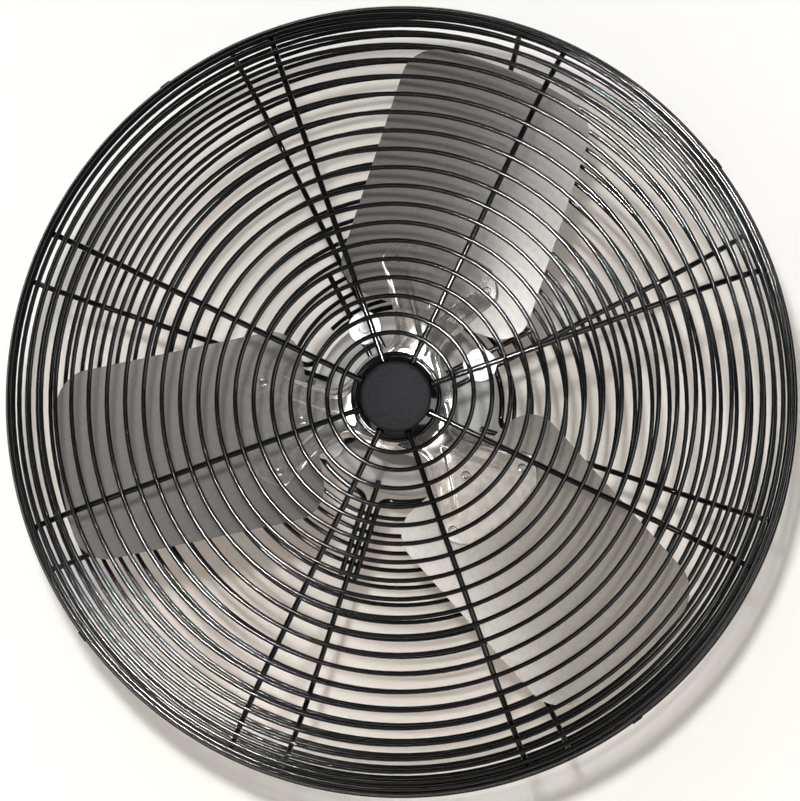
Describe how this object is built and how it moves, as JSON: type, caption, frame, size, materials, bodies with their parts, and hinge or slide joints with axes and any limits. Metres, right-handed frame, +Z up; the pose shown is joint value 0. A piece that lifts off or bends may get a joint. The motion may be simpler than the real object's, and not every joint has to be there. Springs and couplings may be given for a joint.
{
  "type": "industrial basket fan",
  "caption": "Round fan with a spiral-wound wire basket, riveted sheet-metal blades on a stamped spider, and a round direct-drive motor with rear mounting studs.",
  "frame": {"origin": "centre of the four mounting studs, on the back face of the motor", "axes": "+Y along the fan's axis towards the back, -Y the way the front of the basket faces, +Z up, +X to the right seen from the front"},
  "size_m": [0.69, 0.371, 0.6899],
  "materials": {
    "black_powder_coat": "gloss",
    "satin_black_plastic": "satin, fine grain",
    "galvanised_sheet": "mill finish",
    "bright_steel_sheet": "bright",
    "zinc_steel": "bright zinc",
    "grey_enamel": "semi-gloss",
    "machined_steel": "machined",
    "lamination_steel": "dull",
    "cast_aluminium": "as cast",
    "copper_winding": "varnished",
    "black_rubber": "matte",
    "black_plastic": "satin"
  },
  "bodies": {
    "motor_and_basket": {"front_face_spiral": "black_powder_coat", "front_shoulder_spiral": "black_powder_coat", "front_spokes": "black_powder_coat", "front_rim_ring": "black_powder_coat", "front_hub_dish": "black_powder_coat", "centre_cap": "satin_black_plastic", "cap_screw": "zinc_steel", "rear_face_spiral": "black_powder_coat", "rear_shoulder_spiral": "black_powder_coat", "rear_spokes": "black_powder_coat", "rear_mount_wires": "black_powder_coat", "rear_short_wires": "black_powder_coat", "rear_hoops": "black_powder_coat", "rear_rim_ring": "black_powder_coat", "rim_clips": "black_powder_coat", "guard_bolts": "zinc_steel", "guard_washers": "zinc_steel", "motor_front_bell": "grey_enamel", "motor_shell": "grey_enamel", "motor_rear_bell": "grey_enamel", "through_bolts": "zinc_steel", "through_bolt_nuts": "zinc_steel", "rating_plate": "cast_aluminium", "stator_core": "lamination_steel", "stator_winding_front": "copper_winding", "stator_winding_rear": "copper_winding", "front_bearing_outer": "machined_steel", "rear_bearing_outer": "machined_steel", "bearing_wave_washer": "machined_steel", "terminal_box": "grey_enamel", "terminal_box_lid": "grey_enamel", "terminal_box_gasket": "black_rubber", "lid_screws": "zinc_steel", "capacitor": "cast_aluminium", "lead_grommet": "black_rubber", "cable_gland": "black_plastic", "gland_nut": "zinc_steel"},
    "rotor": {"blade_1": "galvanised_sheet", "blade_2": "galvanised_sheet", "blade_3": "galvanised_sheet", "spider": "bright_steel_sheet", "hub": "machined_steel", "blade_rivets": "zinc_steel", "hub_rivets": "zinc_steel", "set_screw": "zinc_steel", "motor_shaft": "machined_steel", "rotor_core": "lamination_steel", "rotor_end_rings": "cast_aluminium", "front_bearing_inner": "machined_steel", "rear_bearing_inner": "machined_steel", "shaft_slinger": "black_rubber"},
    "front_ball_set": {"front_bearing_balls": "machined_steel", "front_bearing_cage": "machined_steel"},
    "rear_ball_set": {"rear_bearing_balls": "machined_steel", "rear_bearing_cage": "machined_steel"}
  },
  "joints": [
    {"name": "rotor_spin", "type": "hinge", "parent": "motor_and_basket", "child": "rotor", "pos_m": [0, -0.24, 0], "axis": [0, 1, 0], "continuous": true},
    {"name": "front_balls_spin", "type": "hinge", "parent": "motor_and_basket", "child": "front_ball_set", "pos_m": [0, -0.139, 0], "axis": [0, 1, 0], "continuous": true},
    {"name": "rear_balls_spin", "type": "hinge", "parent": "motor_and_basket", "child": "rear_ball_set", "pos_m": [0, -0.0125, 0], "axis": [0, 1, 0], "continuous": true}
  ],
  "couplings": [
    {"joint": "front_balls_spin", "follows": "rotor_spin", "ratio": 0.3825},
    {"joint": "rear_balls_spin", "follows": "rotor_spin", "ratio": 0.3825}
  ]
}
